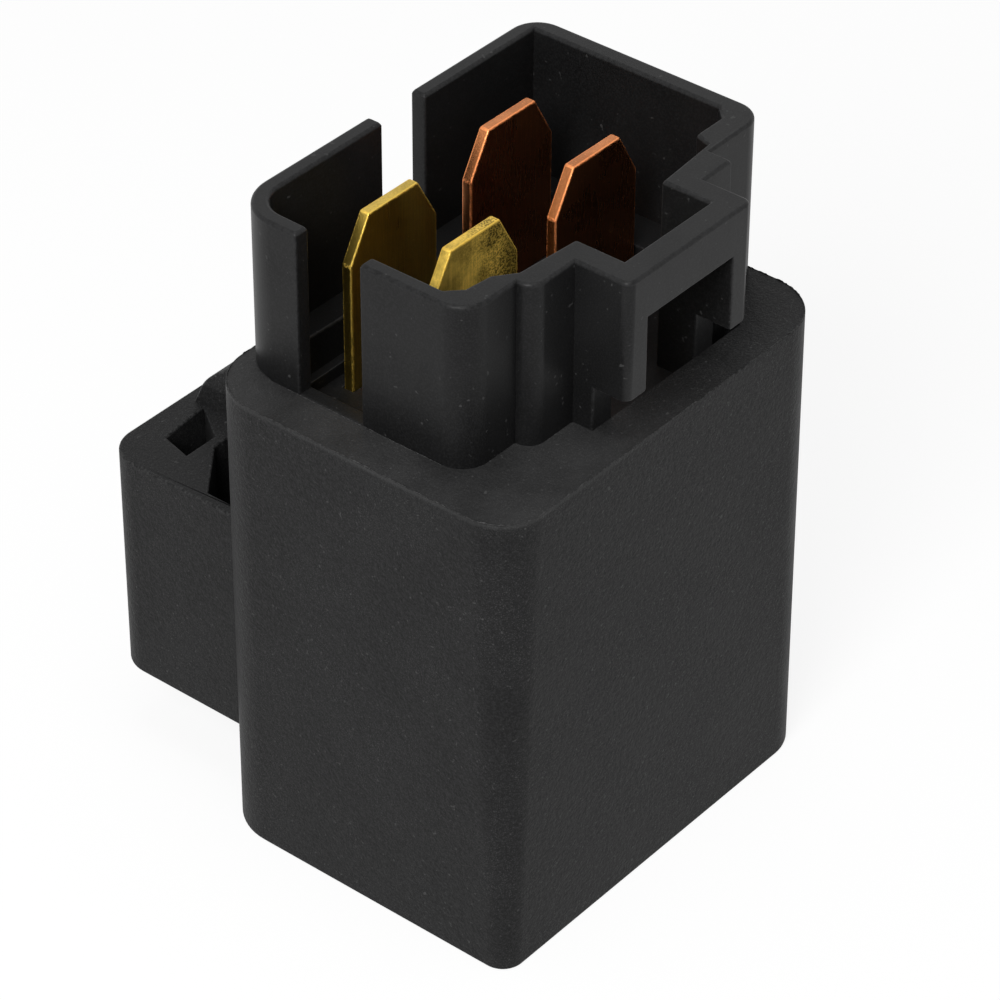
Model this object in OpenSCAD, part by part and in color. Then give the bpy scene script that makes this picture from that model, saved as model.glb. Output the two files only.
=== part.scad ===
// Four-blade relay in a rubber boot, with its coil, armature and contacts inside.
// Origin: centre of the boot's bottom face. X runs from the brass to the copper blades,
// Y from the latch side to the mounting loop, Z up the blades. Millimetres.

/* [Plastic case] */
// Width of the case along X
case_width = 20.1; // [18:0.1:24]
// Depth of the case along Y
case_depth = 14.6; // [14:0.1:18]
// Thickness of the case's walls and floor
case_wall = 0.8; // [0.6:0.05:1]
// Radius of the case's upright corners
case_corner_radius = 1; // [0.5:0.1:2]

/* [Rubber boot] */
// Thickness of the boot's two side walls
boot_side_wall = 2.45; // [1.5:0.05:4]
// Thickness of the boot's front and back walls
boot_front_wall = 2.35; // [2.3:0.05:4]
// Radius of the boot's upright corners
boot_corner_radius = 3.3; // [1:0.1:4]
// Radius of the boot's front corner at the brass end
boot_front_radius = 2.4; // [1:0.1:4]
// Thickness of the boot's bottom
boot_floor = 2.4; // [1.5:0.1:4]
// Thickness of the lip that folds over the connector base
lip_thickness = 1.5; // [1:0.1:2.5]

/* [Mounting loop] */
// Width of the loop along X
loop_width = 21; // [19:0.1:24]
// Reach of the loop behind the boot
loop_reach = 8.75; // [8:0.05:12]
// Height of the loop's lower face
loop_bottom = 4.6; // [2:0.1:10]
// Height of the loop itself
loop_height = 13.4; // [8:0.1:18]
// Radius of the loop's upright corners
loop_corner_radius = 2.4; // [0.5:0.1:3]
// Thickness of the loop's outer wall behind the bracket slots
loop_wall = 1.8; // [1:0.1:2.5]
// Thickness of the loop's side walls
loop_side_wall = 0.7; // [0.5:0.1:1.5]
// Width of the raised middle pad
pad_width = 9; // [6:0.1:10]
// Distance from the pad's end to the loop's outer face
pad_setback = 1.1; // [0.3:0.1:2]
// Height of the pad's top above the loop
pad_rise = 2.5; // [1.5:0.1:4]
// Rounding of the pad's top edges
pad_edge_radius = 1.3; // [0.4:0.1:1.4]
// Width of each bracket slot
slot_width = 1.8; // [1:0.1:2.5]
// Length of each bracket slot along its back edge
slot_length = 3.2; // [2:0.1:4]
// Slant of each bracket slot's outer end
slot_slant = 0.45; // [0.1:0.05:1]
// Slant of each bracket slot's inner end
slot_end_slant = 1.6; // [0.5:0.1:2]
// Web between a bracket slot and the relief hole in front of it
web_width = 0.6; // [0.4:0.05:1.5]
// Length of the relief hole's slanted back edge along Y
relief_slant = 2.4; // [1:0.1:3]

/* [Connector base] */
// Depth of the base's plug inside the case
plug_depth = 0.8; // [0.4:0.1:2]
// Thickness of the plate between the case's rim and the boot's lip
plate_thickness = 2.7; // [1.5:0.1:4]
// Height of the shroud above the platform
shroud_height = 10.6; // [8:0.1:14]
// Thickness of the shroud's walls at the brass end and the back
shroud_wall = 0.9; // [0.7:0.05:1.5]
// Thickness of the shroud's wall at the copper end
end_wall = 1.05; // [0.7:0.05:1.5]
// Thickness of the shroud's front walls
front_wall = 1.45; // [1:0.05:1.8]
// Overhang of the shroud past the case at the copper end
end_overhang = 2.6; // [2:0.05:3.5]
// Overhang of the shroud past the case at the back
back_overhang = 2.2; // [1.8:0.05:3]
// Setback of the shroud's front behind the case's front
front_setback = 2.2; // [1.5:0.05:3]
// Radius of the shroud's front corners
front_corner_radius = 1.5; // [0.5:0.1:1.8]
// Radius of the back corner at the copper end
end_corner_radius = 1.6; // [0.5:0.1:1.8]
// Radius of the back corner at the brass end
left_corner_radius = 3.2; // [2:0.1:3.5]
// Thickness of the flange over the boot's rim
flange_thickness = 0.9; // [0.6:0.1:1.5]
// Lap of the flange over the platform at the back
flange_lap = 0.55; // [0.3:0.05:0.9]
// Lap of the flange over the platform at the copper end
end_lap = 0.75; // [0.3:0.05:0.9]
// Height of the low step behind the rear blades
step_height = 0.7; // [0.3:0.1:1.2]
// Depth of the low step behind the rear blades
step_depth = 1.05; // [1:0.05:1.3]
// Front end of the gap in the brass end's wall
side_gap_front = 1.35; // [0:0.05:2]
// Width of the gap in the brass end's wall
side_gap_width = 3.9; // [2:0.1:5]
// Left end of the gap in the back wall
back_gap_left = 0.05; // [-1:0.05:2]
// Width of the gap in the back wall
back_gap_width = 3.15; // [2:0.05:5]
// Distance from the brass end to the second front lobe
lobe_start = 3.55; // [3:0.05:4.5]
// Step of the second front lobe
lobe_depth = 1; // [0.5:0.05:1.3]
// Radius of the second lobe's corner
lobe_radius = 0.9; // [0.3:0.1:1.2]
// Step of the thick wall beside the latch
block_depth = 1.3; // [0.5:0.05:1.4]
// Width of the thick wall beside the latch
block_width = 2.2; // [1.5:0.1:3.2]

/* [Latch housing] */
// Left outer face of the latch housing
latch_left = -3.45; // [-4:0.05:-3]
// Width of the latch housing
latch_width = 9.4; // [8:0.05:9.6]
// Thickness of the housing's left wall
latch_left_wall = 1.5; // [1:0.05:1.8]
// Thickness of the housing's right wall
latch_right_wall = 1.45; // [1:0.05:1.8]
// Overhang of the housing in front of the case
latch_overhang = 2; // [1.5:0.05:2.3]
// Thickness of the bar that the plug's latch hooks under
latch_bar = 1.5; // [1:0.05:1.8]
// Height of the bar
latch_bar_height = 2.55; // [1.5:0.05:4]
// Gap between the boot's rim and the overhanging housing
latch_gap = 2.4; // [1:0.1:3.5]
// Radius of the housing's front corners
latch_corner_radius = 0.5; // [0.2:0.1:0.8]

/* [Blades] */
// Width of each blade
blade_width = 6.3; // [4.8:0.1:6.6]
// Thickness of each blade
blade_thickness = 0.6; // [0.5:0.05:0.8]
// Length of each blade above the platform
blade_length = 9.5; // [7:0.1:10.5]
// Width of the slanted corner at each side of a tip
tip_chamfer_width = 1.35; // [0.5:0.05:2]
// Height of the slanted corners
tip_chamfer_height = 2.4; // [1:0.1:4]
// Distance from the brass end of the case to the brass blades' centre
brass_inset = 6.6; // [6:0.05:7]
// Distance from the copper end of the case to the copper blades' centre
copper_inset = 4.15; // [3.6:0.05:4.6]
// Front face of the front brass blade
brass_front_y = -0.15; // [-1:0.05:0.5]
// Front face of the front copper blade
copper_front_y = 0; // [-0.5:0.05:0.8]
// Distance from the back of the case to the rear brass blade's front face
brass_back_inset = 2.4; // [2.2:0.05:2.5]
// Distance from the back of the case to the rear copper blade's front face
copper_back_inset = 2; // [1.8:0.05:2.3]
// Width of the blades' tails inside the case
tail_width = 3; // [2.4:0.1:3.2]
// Length of the coil blades' tails below the base
coil_tail_length = 6; // [5.6:0.1:8]
// Length of the rear copper blade's tail below the base
common_tail_length = 10; // [8:0.1:11]
// Depth of a narrow tail's root inside the base
tail_root = 0.5; // [0.2:0.1:1]

/* [Magnet] */
// Room for the return spring between case and yoke
spring_room = 2.15; // [2:0.05:2.6]
// Thickness of the yoke's upright leg
yoke_leg = 1.2; // [1:0.05:1.4]
// Thickness of the yoke's upper leg
yoke_thickness = 1.1; // [0.8:0.05:1.4]
// Length of the yoke's upper leg past the core
yoke_nose = 0.8; // [0.4:0.1:1.5]
// Gap between the yoke's leg and the bobbin
bobbin_clearance = 0.2; // [0.1:0.05:0.4]
// Rim of the bobbin's flanges round the winding
flange_rim = 0.2; // [0.1:0.05:0.5]
// Height of the bobbin
bobbin_height = 12.3; // [11:0.1:14]
// Thickness of the bobbin's flanges
bobbin_flange = 1; // [0.6:0.05:1.3]
// Wall of the bobbin's tube
bobbin_wall = 0.5; // [0.3:0.05:0.8]
// Share of the winding's radius that the iron core takes
core_share = 0.46; // [0.35:0.01:0.55]
// Radius of the core's pole face
pole_radius = 3; // [2.4:0.05:3.4]
// Thickness of the core's pole head
pole_thickness = 0.9; // [0.6:0.05:1.2]
// Height of the pegs and bosses that hang the magnet from the base
peg_height = 2.2; // [1.8:0.1:3]
// Length of each peg along X
peg_length = 2.5; // [1.5:0.1:3]
// Width of each peg beside the yoke
peg_width = 0.5; // [0.3:0.05:0.8]
// Distance from the armature's free end back to the pegs
peg_setback = 1; // [0.5:0.1:1.5]
// Radius of the bosses over the yoke's corners
boss_radius = 1; // [0.6:0.05:1.1]

/* [Armature] */
// Angle that the armature closes through, in degrees
open_angle = 4; // [2:0.25:5]
// Gap between the closed armature and the pole face
pole_gap = 0.3; // [0.2:0.05:0.5]
// Thickness of the armature
armature_thickness = 1; // [0.8:0.05:1.4]
// Distance from the armature's sides to the yoke's sides
armature_margin = 0.2; // [0.1:0.05:0.6]
// Thickness of the contact leaf
leaf_thickness = 0.3; // [0.2:0.05:0.5]
// Half width of the contact leaf
leaf_half_width = 2; // [1.8:0.05:2.6]
// Distance from the hinge to the leaf's fixed end
leaf_start = 1.3; // [0.8:0.1:2]
// Distance between the leaf's two rivets
leaf_rivet_spacing = 2.6; // [2:0.1:2.8]
// Radius of the leaf's rivets
leaf_rivet_radius = 0.5; // [0.3:0.05:0.6]

/* [Contacts] */
// Distance from the front copper blade's centre to the contacts
contact_offset = 0.6; // [0.3:0.05:0.8]
// Distance from the front copper blade's front face to the contacts
contact_setback = 1; // [0.95:0.05:1.3]
// Radius of the contact heads
contact_radius = 1.1; // [0.8:0.05:1.2]
// Height of the moving contact's head
moving_height = 0.7; // [0.4:0.05:1]
// Height of the fixed contact's head
fixed_height = 0.65; // [0.4:0.05:1]
// Gap left between the closed contacts
closed_gap = 0.1; // [0.05:0.01:0.2]
// Radius of the contacts' shanks
shank_radius = 0.6; // [0.4:0.05:0.7]
// Width of the rim of each rivet's plain head
rivet_rim = 0.3; // [0.2:0.05:0.35]
// Thickness of the rivets' plain heads
rivet_head = 0.25; // [0.15:0.05:0.4]
// Thickness of the back stop
stop_thickness = 0.5; // [0.3:0.05:0.8]
// Width of the back stop
stop_width = 2.2; // [1.6:0.1:2.8]
// Distance from the front of the case to the back stop
stop_inset = 2.8; // [2.5:0.05:3]
// Gap between the open contact leaf and the back stop
rest_gap = 0.1; // [0.05:0.01:0.3]

/* [Return spring] */
// Distance from the yoke's outer face to the spring's axis
spring_offset = 1.1; // [1.05:0.05:1.2]
// Distance between the spring's two hooks
spring_length = 8.8; // [7:0.1:10]
// Mean radius of the spring's coils
spring_radius = 0.7; // [0.6:0.05:0.75]
// Radius of the spring's wire
spring_wire = 0.15; // [0.1:0.01:0.18]
// Number of coils
spring_coils = 16; // [8:1:18]
// Thickness of the yoke's lug and of the armature's tail
lug_thickness = 0.6; // [0.4:0.05:0.8]
// Half width of the lug and of the armature's tail
lug_half_width = 1; // [0.8:0.05:1.05]
// Length of the lug past the spring's axis
lug_end = 0.7; // [0.5:0.05:0.75]
// Radius of the holes that the hooks pass through
hook_hole = 0.3; // [0.25:0.01:0.35]

/* [Resistor and wires] */
// Depth of the resistor's middle below the base
resistor_drop = 5; // [4.5:0.1:5.5]
// Radius of the resistor
resistor_radius = 0.8; // [0.5:0.05:0.9]
// Length of the resistor
resistor_length = 5; // [3:0.1:7]
// Gap beside the resistor, to the bobbin and to the copper tail
resistor_gap = 0.25; // [0.15:0.05:0.4]
// Radius of the resistor's leads
lead_radius = 0.25; // [0.2:0.01:0.3]
// Gap between the resistor's leads and the bobbin
lead_gap = 0.3; // [0.1:0.05:0.5]
// Radius of the winding's end wires
wire_radius = 0.15; // [0.08:0.01:0.18]
// Distance from the brass blades' centre to the winding's end wires
wire_offset = 0.9; // [0.6:0.05:1.2]
// Depth of the winding's end wires below the base
wire_drop = 4.1; // [3.6:0.1:4.3]
// Radius of the braided shunt
braid_radius = 0.4; // [0.3:0.05:0.5]
// Bend radius of the shunt
braid_bend = 1.5; // [1:0.1:1.6]
// Length of the shunt that lies on the copper tail
braid_weld = 1.5; // [1:0.1:2.5]
// Straight length of the shunt above the leaf
braid_foot = 1; // [0.5:0.1:2]
// Distance from the leaf's rear edge to the shunt
braid_margin = 0.25; // [0.1:0.05:0.5]

/* [Hidden] */
// Overshoot of a cutting shape past the face that it cuts
cut = 1;
// Depth to which pieces of one moulding sink into each other
merge = 0.05;
// Segments of a large circle and of a wire
fine = 48;
thin = 24;

// Plan of the case and the boot
case_x = case_width / 2;
case_y = case_depth / 2;
inner_x = case_x - case_wall;
inner_y = case_y - case_wall;
inner_corner_radius = case_corner_radius / 2;
boot_width = case_width + 2 * boot_side_wall;
boot_depth = case_depth + 2 * boot_front_wall;
boot_back = boot_depth / 2;

// Plan of the shroud
shroud_left = -case_x;
shroud_right = case_x + end_overhang;
shroud_back = case_y + back_overhang;
shroud_front = -case_y + front_setback;
inner_left = shroud_left + shroud_wall;
inner_right = shroud_right - end_wall;
inner_back = shroud_back - shroud_wall;
inner_front = shroud_front + front_wall;
lobe_left = shroud_left + lobe_start;
lobe_front = shroud_front - lobe_depth;
latch_right = latch_left + latch_width;
latch_front = -case_y - latch_overhang;
pocket_left = latch_left + latch_left_wall;
pocket_right = latch_right - latch_right_wall;
block_right = latch_right + block_width;
block_front = shroud_front - block_depth;

// Blades and contacts in plan
brass_x = -case_x + brass_inset;
copper_x = case_x - copper_inset;
brass_rear_y = case_y - brass_back_inset;
copper_rear_y = case_y - copper_back_inset;
front_tail_y = -brass_rear_y - blade_thickness;
contact_x = copper_x + contact_offset;
contact_y = copper_front_y - contact_setback;
braid_x = copper_x - blade_width / 2 + tail_width / 2;

// Magnet and spring in plan
yoke_left = -inner_x + spring_room;
hinge_x = yoke_left + yoke_leg / 2;
spring_x = yoke_left - spring_offset;
tail_left = spring_x - lug_end;
resistor_x = contact_x - tail_width / 2 - resistor_gap - resistor_radius;
bobbin_left = yoke_left + yoke_leg + bobbin_clearance;
bobbin_right = resistor_x - resistor_radius - resistor_gap;
coil_x = (bobbin_left + bobbin_right) / 2;
flange_half_x = bobbin_right - coil_x;
flange_half_y = min(flange_half_x, brass_rear_y - 2 * lead_radius - lead_gap);
winding_radius = flange_half_y - flange_rim;
core_radius = winding_radius * core_share;
yoke_half_width = flange_half_y - peg_width;
armature_half_width = yoke_half_width - armature_margin;
armature_right = coil_x + pole_radius;
leaf_left = hinge_x + leaf_start;
leaf_rivet_x = leaf_left + leaf_half_width;
leaf_right = contact_x + contact_radius;

// Heights, stacked from the boot's bottom up
case_floor_top = boot_floor + case_wall;
stop_top = case_floor_top + stop_thickness;
leaf_stack = armature_thickness + leaf_thickness + rivet_head;
leaf_reach = contact_x + shank_radius + rivet_rim - hinge_x;
hinge_z = stop_top + rest_gap + leaf_stack * cos(open_angle) + leaf_reach * sin(open_angle);
armature_bottom = hinge_z - armature_thickness;
leaf_bottom = armature_bottom - leaf_thickness;
fixed_bottom = armature_bottom + moving_height + closed_gap;
foot_bottom = fixed_bottom + fixed_height;
foot_top = foot_bottom + blade_thickness;
pole_bottom = hinge_z + pole_gap;
bobbin_bottom = pole_bottom + pole_thickness;
bobbin_top = bobbin_bottom + bobbin_height;
yoke_top = bobbin_top + yoke_thickness;
base_underside = bobbin_top + peg_height;
case_top = base_underside + plug_depth;
platform_top = case_top + plate_thickness;
rim_top = platform_top + lip_thickness;
flange_top = rim_top + flange_thickness;
shroud_top = platform_top + shroud_height;
blade_top = platform_top + blade_length;
latch_bottom = rim_top + latch_gap;
window_top = shroud_top - latch_bar_height;
loop_top = loop_bottom + loop_height;
pad_top = loop_top + pad_rise;

// Spring between the hook holes, with the armature open
tail_z = hinge_z - lug_thickness / 2 + (hinge_x - spring_x) * sin(open_angle);
lug_z = tail_z + spring_length;
spring_pitch = (spring_length - 2 * spring_radius) / spring_coils;

// Flat rectangle with rounded corners, centred on the origin
module rounded_rect(w, d, r) {
    union() {
        square([w - 2 * r, d], center = true);
        square([w, d - 2 * r], center = true);
        for (x = [-1, 1], y = [-1, 1]) {
            translate([x * (w / 2 - r), y * (d / 2 - r)]) circle(r = r, $fn = fine);
        }
    }
}

// Rectangle between two corners
module area(a, b) {
    translate(a) square([b[0] - a[0], b[1] - a[1]]);
}

// Block between two corners
module block(a, b) {
    translate(a) cube([b[0] - a[0], b[1] - a[1], b[2] - a[2]]);
}

// Flat shape drawn up between two heights
module raise(z0, z1) {
    translate([0, 0, z0]) linear_extrude(height = z1 - z0) children();
}

// Upright round bar
module bar(x, y, r, z0, z1, segments) {
    translate([x, y, z0]) cylinder(r = r, h = z1 - z0, $fn = segments);
}

// Turns a shape of the closed armature to its open rest
module at_rest() {
    translate([hinge_x, 0, hinge_z]) rotate([0, open_angle, 0])
        translate([-hinge_x, 0, -hinge_z]) children();
}

// Flat outline of the second front lobe
module lobe() {
    union() {
        area([lobe_left, lobe_front + lobe_radius], [latch_left + merge, shroud_front + merge]);
        area([lobe_left + lobe_radius, lobe_front], [latch_left + merge, shroud_front + merge]);
        translate([lobe_left + lobe_radius, lobe_front + lobe_radius])
            circle(r = lobe_radius, $fn = fine);
    }
}

// Opening of the boot's lip, which follows the foot of the shroud
module foot_outline() {
    round_y = shroud_front + front_corner_radius;
    union() {
        intersection() {
            rounded_rect(case_width, case_depth, case_corner_radius);
            area([-case_x, round_y], [case_x, case_y]);
        }
        area([shroud_left + front_corner_radius, shroud_front], [case_x, round_y]);
        translate([shroud_left + front_corner_radius, round_y])
            circle(r = front_corner_radius, $fn = fine);
        lobe();
        area([latch_left, -case_y], [block_right, shroud_front]);
    }
}

// Outer outline of the shroud without the latch housing
module shroud_outline() {
    r = front_corner_radius;
    front_y = shroud_front + r;
    back_y = shroud_back - left_corner_radius;
    end_x = shroud_right - end_corner_radius;
    end_y = shroud_back - end_corner_radius;
    union() {
        area([shroud_left, front_y], [shroud_right, back_y]);
        area([shroud_left + r, shroud_front], [shroud_right - r, front_y]);
        area([shroud_left + left_corner_radius, back_y], [end_x, shroud_back]);
        area([0, back_y], [shroud_right, end_y]);
        for (x = [shroud_left + r, shroud_right - r]) {
            translate([x, front_y]) circle(r = r, $fn = fine);
        }
        translate([shroud_left + left_corner_radius, back_y])
            circle(r = left_corner_radius, $fn = fine);
        translate([end_x, end_y]) circle(r = end_corner_radius, $fn = fine);
        lobe();
        area([latch_right - merge, block_front], [block_right, shroud_front + merge]);
    }
}

// Inner outline of the shroud: the front wall keeps its thickness round the lobes
module shroud_inside() {
    lobe_inner = lobe_front + front_wall;
    block_inner = block_front + front_wall;
    slope = front_wall / 2;
    r = left_corner_radius - shroud_wall;
    union() {
        polygon([[inner_left + r, inner_back], [inner_left, inner_back - r],
            [inner_left, inner_front + slope], [inner_left + slope, inner_front],
            [lobe_left - slope / 2, inner_front - slope / 4], [lobe_left + slope, lobe_inner],
            [pocket_left, block_inner], [pocket_right, block_inner],
            [block_right + slope / 2, block_inner], [block_right + slope, inner_front],
            [inner_right - slope, inner_front], [inner_right, inner_front + slope],
            [inner_right, inner_back]]);
        translate([inner_left + r, inner_back - r]) circle(r = r, $fn = fine);
    }
}

// Outline of the latch housing, from the bar back into the front wall
module latch_outline() {
    r = latch_corner_radius;
    union() {
        area([latch_left, latch_front + r], [latch_right, block_front + front_wall]);
        area([latch_left + r, latch_front], [latch_right - r, latch_front + r]);
        for (x = [latch_left + r, latch_right - r]) {
            translate([x, latch_front + r]) circle(r = r, $fn = fine);
        }
    }
}

// Holes of the loop at the brass end: the bracket slot, and the relief hole in front of it
module loop_holes() {
    edge = -pad_width / 2;
    slot_back = boot_back + loop_reach - loop_wall;
    slot_front = slot_back - slot_width;
    slot_left = edge - slot_length;
    slot_right = edge - slot_end_slant;
    relief_left = -loop_width / 2 + loop_side_wall;
    relief_back = slot_front - web_width;
    polygon([[edge, slot_back], [slot_left, slot_back], [slot_left - slot_slant, slot_front],
        [slot_right, slot_front]]);
    polygon([[edge, relief_back], [slot_right - web_width, relief_back],
        [relief_left, relief_back - relief_slant], [relief_left, boot_back], [edge, boot_back]]);
}

// Outline of the loop round both holes
module loop_outline() {
    r = loop_corner_radius;
    x = loop_width / 2;
    loop_back = boot_back + loop_reach;
    loop_start = boot_back - boot_front_wall / 2;
    union() {
        area([-x, loop_start], [x, loop_back - r]);
        area([-x + r, loop_start], [x - r, loop_back]);
        for (side = [-1, 1]) {
            translate([side * (x - r), loop_back - r]) circle(r = r, $fn = fine);
        }
    }
}

// Raised pad between the holes, rounded along its top edges
module raised_pad() {
    r = pad_edge_radius;
    x = pad_width / 2;
    y0 = boot_back - boot_front_wall / 2;
    y1 = boot_back + loop_reach - pad_setback;
    intersection() {
        translate([-x, 0, 0]) rotate([90, 0, 90]) linear_extrude(height = pad_width) union() {
            area([y0, loop_bottom], [y1, pad_top - r]);
            area([y0, loop_bottom], [y1 - r, pad_top]);
            translate([y1 - r, pad_top - r]) circle(r = r, $fn = fine);
        }
        translate([0, y1, 0]) rotate([90, 0, 0]) linear_extrude(height = y1 - y0) union() {
            area([-x, loop_bottom], [x, pad_top - r]);
            area([-x + r, loop_bottom], [x - r, pad_top]);
            for (side = [-1, 1]) {
                translate([side * (x - r), pad_top - r]) circle(r = r, $fn = fine);
            }
        }
    }
}

// Outline of the boot, with a tighter front corner at the brass end
module boot_outline() {
    r = boot_front_radius;
    x = -boot_width / 2;
    union() {
        rounded_rect(boot_width, boot_depth, boot_corner_radius);
        area([x, -boot_back + r], [0, 0]);
        area([x + r, -boot_back], [0, 0]);
        translate([x + r, -boot_back + r]) circle(r = r, $fn = fine);
    }
}

module rubber_boot() {
    color([0.09, 0.09, 0.09]) union() {
        difference() {
            raise(0, rim_top) boot_outline();
            raise(boot_floor, platform_top) rounded_rect(case_width, case_depth, case_corner_radius);
            raise(platform_top - merge, rim_top + cut) foot_outline();
        }
        difference() {
            raise(loop_bottom, loop_top) loop_outline();
            for (side = [0, 1]) {
                mirror([side, 0, 0]) raise(loop_bottom - cut, loop_top + cut) loop_holes();
            }
        }
        raised_pad();
    }
}

// Plug inside the case, plate on the case's rim, step and flange over the boot's rim
module base_plate() {
    raise(base_underside, case_top) rounded_rect(2 * inner_x, 2 * inner_y, inner_corner_radius);
    raise(case_top, platform_top) rounded_rect(case_width, case_depth, case_corner_radius);
    intersection() {
        raise(platform_top, flange_top) rounded_rect(case_width, case_depth, case_corner_radius);
        union() {
            block([-case_x, case_y - step_depth, platform_top - merge],
                [case_x, case_y, platform_top + step_height]);
            block([-case_x, case_y - flange_lap, platform_top], [case_x, case_y, flange_top]);
            block([case_x - end_lap, shroud_front, platform_top], [case_x, case_y, flange_top]);
        }
    }
    intersection() {
        raise(rim_top, flange_top) shroud_outline();
        union() {
            block([shroud_left, case_y - flange_lap, rim_top], [shroud_right, shroud_back, flange_top]);
            block([case_x - end_lap, shroud_front, rim_top], [shroud_right, shroud_back, flange_top]);
        }
    }
    for (side = [-1, 1]) {
        bar(hinge_x, side * (yoke_half_width - boss_radius), boss_radius, yoke_top,
            base_underside + merge, fine);
    }
}

// Walls round the blades: over the boot's rim, and down to the platform where the lip is open
module shroud_walls() {
    difference() {
        raise(rim_top, shroud_top) shroud_outline();
        raise(rim_top - cut, shroud_top + cut) shroud_inside();
    }
    difference() {
        raise(platform_top - merge, rim_top + merge) intersection() {
            foot_outline();
            shroud_outline();
        }
        raise(platform_top - cut, rim_top + cut) shroud_inside();
    }
}

// Two necks on the platform carry the housing that overhangs the boot's rim
module latch_housing() {
    for (side = [[latch_left, pocket_left], [pocket_right, latch_right]]) {
        block([side[0], -case_y, platform_top - merge],
            [side[1], block_front + front_wall, latch_bottom + merge]);
    }
    raise(latch_bottom, shroud_top) latch_outline();
}

module blade_slot(x, y) {
    block([x - blade_width / 2, y, base_underside - cut],
        [x + blade_width / 2, y + blade_thickness, platform_top + cut]);
}

module connector_base() {
    pocket_back = block_front + front_wall + merge;
    color([0.07, 0.07, 0.075]) difference() {
        union() {
            base_plate();
            shroud_walls();
            latch_housing();
        }
        // pocket behind the bar, and window under it
        block([pocket_left, latch_front + latch_bar, platform_top],
            [pocket_right, pocket_back, shroud_top + cut]);
        block([pocket_left, latch_front - cut, platform_top], [pocket_right, pocket_back, window_top]);
        // gaps in the wall at the brass end and in the back wall
        block([shroud_left - cut, side_gap_front, rim_top],
            [inner_left + merge, side_gap_front + side_gap_width, shroud_top + cut]);
        block([back_gap_left, inner_back - merge, flange_top],
            [back_gap_left + back_gap_width, shroud_back + cut, shroud_top + cut]);
        // slots that hold the blades
        blade_slot(brass_x, brass_front_y);
        blade_slot(brass_x, brass_rear_y);
        blade_slot(copper_x, copper_front_y);
        blade_slot(copper_x, copper_rear_y);
    }
}

module inner_case() {
    color([0.05, 0.05, 0.05]) difference() {
        raise(boot_floor, case_top) rounded_rect(case_width, case_depth, case_corner_radius);
        raise(case_floor_top, case_top + cut)
            rounded_rect(2 * inner_x, 2 * inner_y, inner_corner_radius);
    }
}

// Flat blade from the base's underside to its tip
module blade(x, y) {
    w = blade_width / 2;
    shoulder = blade_top - tip_chamfer_height;
    translate([x, y + blade_thickness, 0]) rotate([90, 0, 0])
        linear_extrude(height = blade_thickness)
        polygon([[-w, base_underside], [w, base_underside], [w, shoulder],
            [w - tip_chamfer_width, blade_top], [-w + tip_chamfer_width, blade_top], [-w, shoulder]]);
}

// Narrow tail of a blade, centred at x and running down from the base
module tail(x, y, bottom) {
    block([x - tail_width / 2, y, bottom],
        [x + tail_width / 2, y + blade_thickness, base_underside + tail_root]);
}

module coil_blade_rear() {
    color([0.78, 0.6, 0.2]) union() {
        blade(brass_x, brass_rear_y);
        tail(brass_x, brass_rear_y, base_underside - coil_tail_length);
    }
}

module coil_blade_front() {
    x0 = brass_x - tail_width / 2;
    x1 = brass_x + tail_width / 2;
    color([0.78, 0.6, 0.2]) union() {
        blade(brass_x, brass_front_y);
        block([x0, front_tail_y, base_underside - blade_thickness],
            [x1, brass_front_y + blade_thickness, base_underside]);
        block([x0, front_tail_y, base_underside - coil_tail_length],
            [x1, front_tail_y + blade_thickness, base_underside]);
    }
}

module contact_blade_rear() {
    color([0.72, 0.38, 0.2]) union() {
        blade(copper_x, copper_rear_y);
        tail(braid_x, copper_rear_y, base_underside - common_tail_length);
    }
}

module contact_blade_front() {
    x0 = contact_x - tail_width / 2;
    x1 = contact_x + tail_width / 2;
    color([0.72, 0.38, 0.2]) difference() {
        union() {
            blade(copper_x, copper_front_y);
            tail(contact_x, copper_front_y, foot_bottom);
            block([x0, contact_y - contact_radius - rivet_rim, foot_bottom],
                [x1, copper_front_y + blade_thickness, foot_top]);
        }
        bar(contact_x, contact_y, shank_radius, foot_bottom - cut, foot_top + cut, fine);
    }
}

module bobbin() {
    peg_x = armature_right - peg_setback;
    color([0.85, 0.82, 0.72]) difference() {
        union() {
            for (z = [bobbin_bottom, bobbin_top - bobbin_flange]) {
                block([coil_x - flange_half_x, -flange_half_y, z],
                    [coil_x + flange_half_x, flange_half_y, z + bobbin_flange]);
            }
            bar(coil_x, 0, core_radius + bobbin_wall, bobbin_bottom, bobbin_top, fine);
            for (y = [-flange_half_y, yoke_half_width]) {
                block([peg_x, y, bobbin_top - merge],
                    [peg_x + peg_length, y + peg_width, base_underside]);
            }
        }
        bar(coil_x, 0, core_radius, bobbin_bottom - cut, bobbin_top + cut, fine);
    }
}

module coil_winding() {
    z0 = bobbin_bottom + bobbin_flange;
    z1 = bobbin_top - bobbin_flange;
    color([0.6, 0.25, 0.1]) difference() {
        bar(coil_x, 0, winding_radius, z0, z1, fine);
        bar(coil_x, 0, core_radius + bobbin_wall, z0 - cut, z1 + cut, fine);
    }
}

module iron_core() {
    color([0.6, 0.6, 0.62]) union() {
        bar(coil_x, 0, pole_radius, pole_bottom, bobbin_bottom, fine);
        bar(coil_x, 0, core_radius, pole_bottom, yoke_top, fine);
    }
}

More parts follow.
